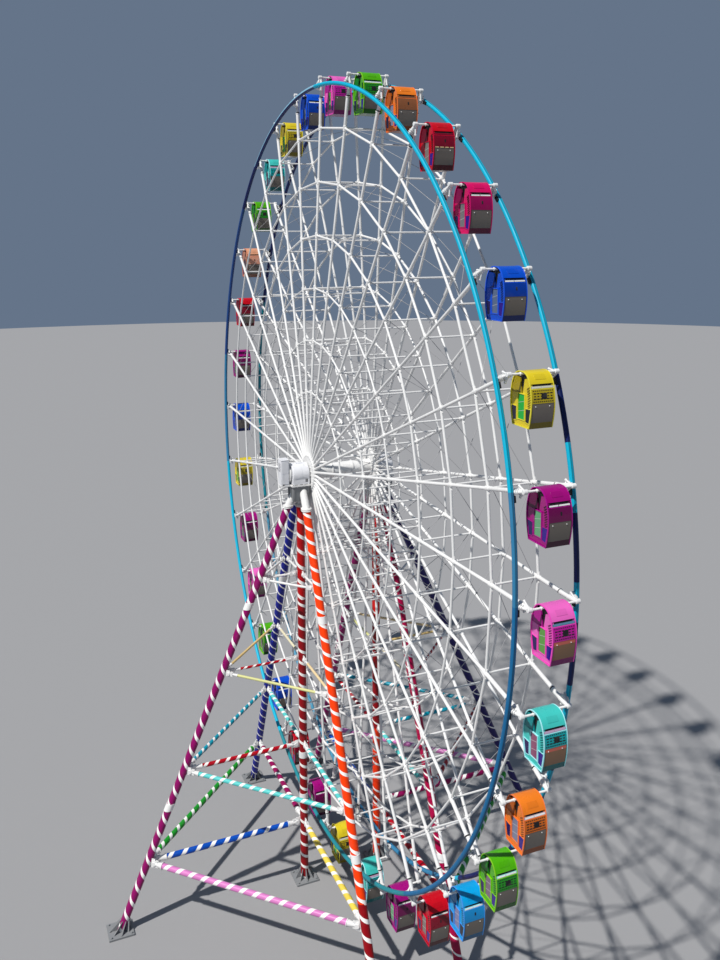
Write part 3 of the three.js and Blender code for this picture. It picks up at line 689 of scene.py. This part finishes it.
# from this bay on, quads facing inward past this share are navy, painted shade
PAINTED_SHADE_INSIDE_FROM, INNER_HALF = 28, -0.2
# the outermost quads of the rim darkened to this share, a painted shade strip
OUTSIDE_PAINTED_SHADE = 0.5
RIM_BLUE = weathered_paint("rim_blue_paint", None, 0.42, 0.08), "rim_blue"


def hoop(radius, y, tube):
    """A round tube bent to a circle about the axle: the tube's own circle, carried round it."""
    a = np.arange(RIM_STEPS)[:, None] * 2 * np.pi / RIM_STEPS
    b = np.arange(RIM_SIDES)[None] * 2 * np.pi / RIM_SIDES
    reach = radius + tube * np.cos(b)
    points = np.stack([reach * np.sin(a), y + tube * np.sin(b) + 0 * a, HUB + reach * np.cos(a)],
                      axis=-1)
    index = np.arange(RIM_STEPS * RIM_SIDES).reshape(RIM_STEPS, RIM_SIDES)
    onward, ahead = np.roll(index, -1, axis=0), np.roll(index, -1, axis=1)
    both = np.roll(onward, -1, axis=1)
    return points.reshape(-1, 3), np.stack([index, ahead, both, onward], axis=-1).reshape(-1, 4)


for name, side in WAY.items():
    bay, part = np.divmod(np.arange(RIM_STEPS), 8)
    by_bay = np.concatenate([np.tile(coat, (count, 1)) for count, coat in RIM_BLUES_AND_PAINTED_SHADE[name]])
    coat = by_bay[bay]
    if name == "far":
        # painted shadows of the cabins on the far rim
        for first, last, start, end in CABIN_SHADOW_PARTS:
            coat[(bay >= first) & (bay < last) & (part >= start) & (part < end)] = DEEP
    coat = np.repeat(coat[:, None], RIM_SIDES, axis=1)
    facing = np.cos((np.arange(RIM_SIDES) + 0.5) * 2 * np.pi / RIM_SIDES)
    # painted shade along the outside of the rim
    coat[:, -1] *= OUTSIDE_PAINTED_SHADE
    # navy painted shade on the inner half of the last lengths
    coat[np.ix_(bay >= PAINTED_SHADE_INSIDE_FROM, facing < INNER_HALF)] = DEEP
    piece(f"rim_{name}_tube", [hoop(RIM_RADIUS, side * RIM_PLANE, RIM_TUBE)], RIM_BLUE, "wheel",
          [f"rim_{name}"], coats=[coat.reshape(-1, 3)])

# The hub: a drum between the two flange plates, with stiffening rings, and the shaft that runs
# through it to both bearings and on through a bolted coupling into the drive box.
SHAFT, WIDE, DRUM, STIFFENER, COUPLING = 0.1, 0.115, 0.19, 0.215, 0.2
drum_profile = [
    (-1.598, SHAFT), (-1.59, WIDE), (-1.468, WIDE), (-1.468, COUPLING), (-1.436, COUPLING),
    (-1.436, WIDE), (-0.951, WIDE), (-0.951, DRUM), (-0.3, DRUM), (-0.3, STIFFENER),
    (-0.27, STIFFENER), (-0.27, DRUM), (0.27, DRUM), (0.27, STIFFENER), (0.3, STIFFENER),
    (0.3, DRUM), (0.951, DRUM), (0.951, WIDE), (1.45, WIDE), (1.458, SHAFT)]
drum = turned((0, 0, HUB), (0, 1, HUB), *np.array(drum_profile).T, 48)
piece("hub_drum_and_shaft", [drum], WHITE_STEEL, "wheel", ["hub_drum"])

# The 32 cabins: fibreglass barrels in bright gloss colours that hang on white axles. A raised
# frame edges each end, smoked windows run along both sides, and the doors have coloured film.
# painted shade: the first share darkens the deep tone on the sill under the belly, and the last one on
# the left cheek of each end
SILL_PAINTED_SHADE, HATCH_SHADE, CHEEK_PAINTED_SHADE = 0.35, 0.9, 0.7
# each colour's coats: body, deep tone, edging, door film and strips
CABIN_COATS = {
    "pink": ((0.78, 0.13, 0.5), (0.52, 0.005, 0.32), (0.85, 0.07, 0.5),
             (0.1, 0.3, 0.05), (0.08, 0.19, 0.28)),
    "green": ((0.07, 0.4, 0), (0.01, 0.28, 0.01), (0.22, 0.58, 0.01),
              (0.18, 0.12, 0.17), (0.22, 0.6, 0.55)),
    "orange": ((0.82, 0.2, 0.012), (0.62, 0.13, 0.004), (0.92, 0.2, 0.04),
               (0.2, 0.21, 0.3), (0.5, 0.4, 0.45)),
    "red": ((0.52, 0, 0.008), (0.2, 0, 0.015), (0.56, 0, 0.03), (0.2, 0.17, 0.15), (0.05, 0, 0.01)),
    "crimson": ((0.64, 0, 0.11), (0.3, 0, 0.08), (0.64, 0, 0.14), (0.17, 0.16, 0.17), (0.05, 0, 0.01)),
    "blue": ((0, 0.07, 0.55), (0, 0.04, 0.34), (0.01, 0.1, 0.75), (0.1, 0.14, 0.24), (0.02, 0.05, 0.2)),
    "yellow": ((0.68, 0.53, 0.015), (0.48, 0.37, 0.01), (0.78, 0.68, 0.04),
               (0, 0.4, 0.04), (0.5, 0.5, 0.42)),
    "magenta": ((0.32, 0, 0.17), (0.14, 0, 0.07), (0.38, 0, 0.24), (0.12, 0.36, 0.17), (0.03, 0, 0.02)),
    "teal": ((0.05, 0.52, 0.47), (0, 0.34, 0.36), (0.4, 0.86, 0.9), (0.26, 0.08, 0.15), (0.4, 0.28, 0.4)),
    "sky": ((0, 0.34, 0.72), (0, 0.26, 0.62), (0.05, 0.32, 0.85), (0.2, 0.2, 0.38), (0.2, 0.66, 0.8)),
    "salmon": ((0.72, 0.33, 0.19), (0.66, 0.3, 0.2), (0.66, 0.2, 0.1),
               (0.2, 0.21, 0.3), (0.62, 0.29, 0.19)),
}
CABIN_ORDER = (
    "pink green orange red crimson blue yellow magenta pink teal orange green sky red magenta teal "
    "yellow magenta red blue green pink magenta yellow blue magenta red salmon green teal yellow blue"
).split()
SMOKE, BROWN, SALMON = (0.155, 0.135, 0.115), (0.24, 0.13, 0.07), (0.58, 0.13, 0.09)
TAWNY, STRAW = (0.27, 0.095, 0.035), (0.8, 0.6, 0.3)
NIGHT = {"left": (0.01, 0, 0.085), "right": (0.022, 0, 0.22)}
BLACK = {"left": (0.004, 0.004, 0.03), "right": (0.004, 0.004, 0.012)}
SALMON_PANED = (8, 9)
PLAIN_STRIPS = ("pink", "yellow", "teal", "salmon")
PIERCED = ("yellow", "teal", "pink", "orange", "green")
BLACK_WINDOWS = ("yellow", "sky")
TALL_PANED, LOW_DASHED = 2, 3

# the barrel's outline: half its width at heights below the pivot, as measured
CROWN, DEPTH, FLOOR = 0.052, 0.24, -0.925
MEASURED = np.array([(0, 0.052), (0.11, 0.038), (0.2, -0.02), (0.262, -0.095), (0.318, -0.26),
                     (0.345, -0.43), (0.342, -0.56), (0.318, -0.73), (0.268, -0.925)])
WIDTH_TERMS = np.polyfit(np.sqrt(CROWN - MEASURED[:, 1]), MEASURED[:, 0], 5)


def half_width(z):
    """Half the cabin's width at height z: a smooth curve of the root of the depth below the crown."""
    return np.maximum(np.polyval(WIDTH_TERMS, np.sqrt(np.maximum(CROWN - z, 0))), 0)


def between(one, other, near, far):
    """A slab between two curves of (x, z) points, carried along the axle from near to far. Either
    may be a pair, one place for each curve, and the slab then slopes."""
    rows = [np.insert(curve, 1, y, axis=1) for ys in (near, far)
            for curve, y in zip((one, other), np.broadcast_to(ys, 2))]
    a, b, c, d = (np.arange(len(one)) + k * len(one) for k in range(4))
    strips = [np.stack([p[:-1], p[1:], q[1:], q[:-1]], axis=1)
              for p, q in ((a, c), (d, b), (c, d), (b, a))]
    ends = np.array([[a[0], c[0], d[0], b[0]], [a[-1], b[-1], d[-1], c[-1]]])
    quads, points = np.concatenate([*strips, ends]), np.concatenate(rows)
    p, q, r = (points[quads[:, k]] - points.mean(axis=0) for k in range(3))
    volume = np.einsum("ij,ij->", p, np.cross(q - p, r - p))
    return points, quads if volume > 0 else quads[:, ::-1]


def side_curve(side, top, bottom, inset, count):
    """The cabin's outline on one side from top to bottom, moved in by inset."""
    z = np.linspace(top, bottom, count)
    return np.stack([side * (half_width(z) - inset), z], axis=1)


def upright(x, top, bottom, count=2):
    """A straight upright line at x, from top to bottom."""
    return np.stack([np.full(count, x), np.linspace(top, bottom, count)], axis=1)


def arch(inset, foot, count=25):
    """The outline from one side over the crown to the other, down to height foot."""
    reach = np.sqrt(CROWN - foot)
    t = np.linspace(-reach, reach, count)
    x = np.sign(t) * (np.polyval(WIDTH_TERMS, np.abs(t)) - inset * np.minimum(1, np.abs(t) / 0.2))
    return np.stack([x, CROWN - t**2 - inset * (1 - np.minimum(1, np.abs(t) / 0.6))], axis=1)


def panel(left, right, top, bottom, near, far):
    """A flat upright panel between two straight edges, carried along the axle from near to far."""
    return between(upright(left, top, bottom), upright(right, top, bottom), near, far)


EAVE, STRIP_TOP, STRIP_LOW, SILL_TOP, SILL_LOW = -0.148, -0.186, -0.232, -0.478, -0.82
UPPER_PANE_LOW, CATCH_HIGH = -0.545, -0.53
WALL, SHELL, SLOTS_HALF, FLOOR_HALF = 0.014, DEPTH - 0.012, 0.195, 0.262
FLOOR_TOP, BODY_LOW, PROUD, EDGING, FRAME = FLOOR + 0.02, FLOOR + 0.015, 0.003, 0.016, 0.006
DOOR_LEFT, DOOR_RIGHT, DOOR_TOP, DOOR_LOW = -0.105, 0.122, -0.346, -0.8
# each row of pierced slots: its height, the pitch, and a slot's width and height
SLOT_ROWS = (
    (-0.262, 0.042, 0.024, 0.016), (-0.306, 0.066, 0.05, 0.02), (-0.352, 0.066, 0.034, 0.018),
    (-0.398, 0.066, 0.05, 0.02), (-0.444, 0.042, 0.024, 0.016),
)
# each strip of a side wall: its layer, its top and bottom, how far in and how thick it is, its
# steps down the curve, half its length along the axle and the middle of that length
SIDE_STRIPS = (
    ("hatch", 0.005, -0.075, -0.005, 0.012, 5, 0.11, 0),
    ("dark", EAVE, STRIP_TOP, 0.018, 0.01, 3, SHELL, 0),
    ("strip", STRIP_TOP, STRIP_LOW, 0.003, 0.012, 3, SHELL, 0),
    ("dash", STRIP_TOP - 0.006, STRIP_LOW + 0.016, -0.001, 0.008, 3, 0.088, -0.11),
    ("dash", STRIP_TOP - 0.006, STRIP_LOW + 0.016, -0.001, 0.008, 3, 0.108, 0.1),
    *(("low_dash", SILL_TOP + 0.018, SILL_TOP, -0.002, 0.008, 3, 0.04, middle)
      for middle in (-0.165, -0.055, 0.055, 0.165)),
    ("edge", STRIP_LOW + 0.008, STRIP_LOW - 0.004, -0.002, 0.008, 3, SHELL, 0),
    ("deep", STRIP_LOW, SILL_TOP, 0, WALL, 7, SHELL, 0),
    # the sill band below the windows is darker as painted shade; the posts beside the windows share its
    # coat
    ("sill", SILL_LOW, FLOOR, 0, WALL, 5, SHELL, 0),
    ("sill", SILL_TOP, SILL_LOW, 0, WALL, 9, 0.006, -0.222),
    ("sill", SILL_TOP, SILL_LOW, 0, WALL, 9, 0.006, 0.222),
    ("upper", SILL_TOP, UPPER_PANE_LOW, 0.004, 0.01, 4, 0.219, 0),
    ("smoke", UPPER_PANE_LOW, SILL_LOW, 0.004, 0.01, 7, 0.219, 0),
    ("pierced", -0.305, -0.4, -0.002, 0.008, 4, 0.055, 0.02),
    ("slot", -0.31, -0.37, -0.002, 0.008, 4, 0.016, 0.02),
)

# the roof, the floor and the two long side walls, whose strips follow the outline; all the
# surfaces of one colour make a layer
cabin = defaultdict(list)
cabin["body"].append(between(arch(0, EAVE), arch(WALL, EAVE), -SHELL, SHELL))
cabin["sill"].append(panel(-FLOOR_HALF, FLOOR_HALF, FLOOR_TOP, FLOOR, -SHELL, SHELL))
for side in (-1, 1):
    for layer, top, low, inset, thick, steps, half, middle in SIDE_STRIPS:
        outer = side_curve(side, top, low, inset, steps)
        inner = side_curve(side, top, low, inset + thick, steps)
        cabin[layer].append(between(outer, inner, middle - half, middle + half))
    for z, pitch, wide, high in SLOT_ROWS:
        ys = np.arange(-SLOTS_HALF, SLOTS_HALF + 0.001, pitch)
        ys = ys + (SLOTS_HALF - ys[-1]) / 2
        spots = np.insert(np.full((len(ys), 2), (side * (half_width(z) + 0.0005), z)), 1, ys, axis=1)
        cabin["pierced"].append(boxes(spots, (0.004, wide, high)))
    catches = [(side * (half_width(CATCH_HIGH) - 0.004), y, CATCH_HIGH) for y in (-0.15, 0.13)]
    cabin["white"].append(nuts(catches, (side, 0, 0), 0.01, 0.008))


def on_ends(layer, surface):
    """Puts a surface on the near end, and its copy turned half round the upright on the far end."""
    cabin[layer] += [surface, (surface[0] * (-1, -1, 1), surface[1])]


# the two ends: a thin edging round the outline, a dark mouth for the axle at the top, two cheeks
# that slope in to a V groove below it, the left one darker as painted shade, then the door
# between two low windows
face = -DEPTH
front, back, mouth = face + 0.014, face + 0.03, face + 0.06
outline_z = np.concatenate([np.linspace(FLOOR, -0.2, 12), CROWN - np.linspace(0.5, 0, 14)[1:] ** 2])
edge = np.stack([half_width(outline_z), outline_z], axis=1)
loop = np.concatenate([edge * (-1, 1), edge[-2::-1]])
lean_in = unit((0, -0.42) - loop)
on_ends("edge", between(loop - lean_in * PROUD, loop + lean_in * EDGING, face - PROUD, front))
on_ends("edge", panel(-FLOOR_HALF - 0.004, FLOOR_HALF + 0.004, FLOOR_TOP, FLOOR, face - PROUD, back))
z_up = np.concatenate([np.linspace(DOOR_TOP, -0.1, 8), CROWN - 0.012 - np.linspace(0.35, 0, 9)[1:] ** 2])
wide_up = np.maximum(half_width(z_up) - 0.012, 0)
left_edge, right_edge = np.stack([-wide_up, z_up], axis=1), np.stack([wide_up, z_up], axis=1)
on_ends("dark", between(left_edge, right_edge, mouth - 0.006, mouth))
for side, jamb in ((-1, DOOR_LEFT), (1, DOOR_RIGHT)):
    groove = np.stack([side * np.linspace(0.075, 0.016, 8), np.linspace(-0.085, DOOR_TOP, 8)], axis=1)
    cheek = between(side_curve(side, -0.055, DOOR_TOP, 0.014, 8), groove, (front, back), mouth - 0.006)
    # the left cheek takes a darker coat, painted shade
    on_ends("shaded_cheek" if side < 0 else "body", cheek)
    on_ends("body", between(side_curve(side, DOOR_TOP, BODY_LOW, 0.01, 9),
                            upright(jamb, DOOR_TOP, BODY_LOW, 9), front, back))
    on_ends("edge", panel(jamb - 0.008, jamb + 0.008, DOOR_TOP + 0.01, DOOR_LOW - 0.01,
                          front - 0.014, back))
    window = np.array([(0.145, -0.585), (0.318, -0.575), (0.262, -0.845), (0.145, -0.825)]) * (side, 1)
    pane = between(window[[0, 3]], window[[1, 2]], front - 0.005, front)
    on_ends("left" if side < 0 else "right", pane)
    for p, q in zip(window, np.roll(window, -1, axis=0)):
        away = np.array([q[1] - p[1], p[0] - q[0]]) / np.linalg.norm(q - p) * FRAME
        inner, outer = np.array([p - away, q - away]), np.array([p + away, q + away])
        on_ends("edge", between(inner, outer, front - 0.01, front))
on_ends("body", panel(DOOR_LEFT, DOOR_RIGHT, DOOR_LOW, BODY_LOW, front, back))
for z in (DOOR_TOP, DOOR_LOW):
    on_ends("edge", panel(DOOR_LEFT, DOOR_RIGHT, z + FRAME, z - FRAME, front - 0.012, back))
on_ends("film", panel(DOOR_LEFT, DOOR_RIGHT, DOOR_TOP, DOOR_LOW, front + 0.001, front + 0.008))
for share in (0.36, 0.7):
    z = DOOR_TOP + (DOOR_LOW - DOOR_TOP) * share
    line = np.array([(DOOR_LEFT + 0.01, z), (DOOR_RIGHT - 0.01, z + 0.05)])
    on_ends("stripe", between(line, line - (0, 0.01), front - 0.001, front + 0.002))
slat_z = np.arange(-0.56, -0.2, 0.042)
slats = np.stack([half_width(slat_z) - 0.09, np.full_like(slat_z, front - 0.002), slat_z], axis=1)
on_ends("sill", boxes(slats, (0.095, 0.006, 0.018), (0.87, 0, 0.5), (-0.5, 0, 0.87)))
axle_start = np.array([0, -0.18, 0])
AXLE = ([0, 0.07, 0.07, 0.082, 0.082, 0.216], [0.022, 0.022, 0.032, 0.032, 0.022, 0.022])
on_ends("white", turned(axle_start, axle_start - (0, 1, 0), *AXLE, 14))

# every cabin hangs from its pivot as four pieces: shell, glazing, seals and white fittings
PIECES = {
    "shell": ("body", "deep", "shaded_cheek", "sill", "edge", "hatch"),
    "glazing": ("film", "stripe", "smoke", "upper", "left", "right"),
    "trim": ("dark",), "fittings": ("strip", "dash", "white"),
}
OFF_WHITE = (0.85, 0.85, 0.83)


def clear_coated(paint, weight, roughness):
    """The same paint under a thin clear coat."""
    feed(paint.node_tree.nodes["Principled BSDF"],
         {"Coat Weight": weight, "Coat Roughness": roughness})
    return paint


def coats_of(k, colour):
    """The colour of each finish of cabin k, made from the five coats of its colour."""
    body, deep, edging, film, strip = (np.array(coat) for coat in CABIN_COATS[colour])
    salmon = k in SALMON_PANED
    # the sill and the left cheek take darker coats as painted shade; the floor and the end slats share
    # the sill coat
    coats = {
        "body": body, "deep": deep, "sill": deep * SILL_PAINTED_SHADE, "edge": edging, "film": film,
        "hatch": body * HATCH_SHADE, "stripe": film * 0.4 + 0.35, "smoke": BROWN if salmon else SMOKE,
        "upper": SALMON if salmon else SMOKE, "strip": strip, "shaded_cheek": deep * CHEEK_PAINTED_SHADE,
        "dash": strip * 1.3 if colour in PLAIN_STRIPS else OFF_WHITE, "white": OFF_WHITE,
        "low_dash": STRAW, **(BLACK if colour in BLACK_WINDOWS else NIGHT),
    }
    if k == TALL_PANED:
        coats.update(deep=TAWNY, strip=TAWNY, dash=TAWNY)
    if k == LOW_DASHED:
        coats.update(strip=deep, dash=deep)
    return coats


cabin_gloss = clear_coated(weathered_paint("cabin_gloss", None, 0.25, 0.06), 0.12, 0.08)
window_film = clear_coated(weathered_paint("window_film", None, 0.14, 0.1), 0.2, 0.05)
satin_fittings = weathered_paint("cabin_fittings_paint", None, 0.35, 0.1)
for k, (colour, pivot) in enumerate(zip(CABIN_ORDER, on_wheel(PIVOT, angles, 0))):
    coats = coats_of(k, colour)
    pierced = colour in PIERCED and k != TALL_PANED
    name = f"cabin_{k:02d}"
    shell_slot = "cabin_orange" if colour == "salmon" else f"cabin_{colour}"
    finishes = {"shell": (cabin_gloss, shell_slot), "glazing": (window_film, "glass"),
                "trim": DARK_TRIM, "fittings": (satin_fittings, "white_steel")}
    for part, finish in finishes.items():
        shown = PIECES[part]
        if part == "trim":
            shown += ("pierced",) if pierced else ("slot",)
        if part == "fittings" and k == LOW_DASHED:
            shown += ("low_dash",)
        hung = [(s[0] + pivot, s[1], coats.get(layer)) for layer in shown for s in cabin[layer]]
        painted = None if part == "trim" else [coat for _, _, coat in hung]
        piece(f"{name}_{part}", hung, finish, name, [name] if part == "shell" else (), coats=painted)
